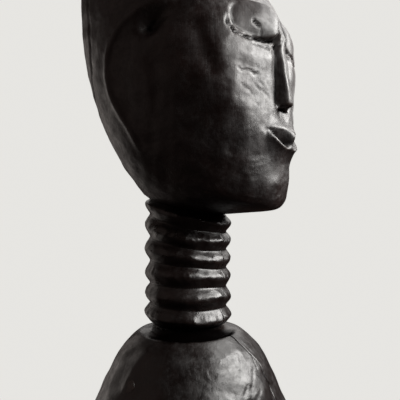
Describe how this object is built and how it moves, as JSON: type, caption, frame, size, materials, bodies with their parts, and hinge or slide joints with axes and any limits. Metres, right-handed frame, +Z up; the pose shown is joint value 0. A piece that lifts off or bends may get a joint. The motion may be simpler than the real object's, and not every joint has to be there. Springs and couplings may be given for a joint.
{
  "type": "fertility doll",
  "caption": "Dark carved hardwood female figure with a tall smooth head, closed eyes, a ringed neck and a rounded torso on a flat round foot.",
  "frame": {"origin": "centre of the flat foot, on the surface the figure stands on", "axes": "+Z up through the neck to the crown, -Y the way the face looks, +X the figure's left side"},
  "size_m": [0.1132, 0.1082, 0.3364],
  "materials": {
    "stained_wood": "black-brown stain under rubbed wax, semi-gloss",
    "peg_wood": "pared end grain, waxed"
  },
  "bodies": {
    "root": {"head": "stained_wood", "ringed_neck": "stained_wood", "body": "stained_wood", "shoulder_peg": "peg_wood", "nape_peg": "peg_wood"}
  },
  "joints": []
}
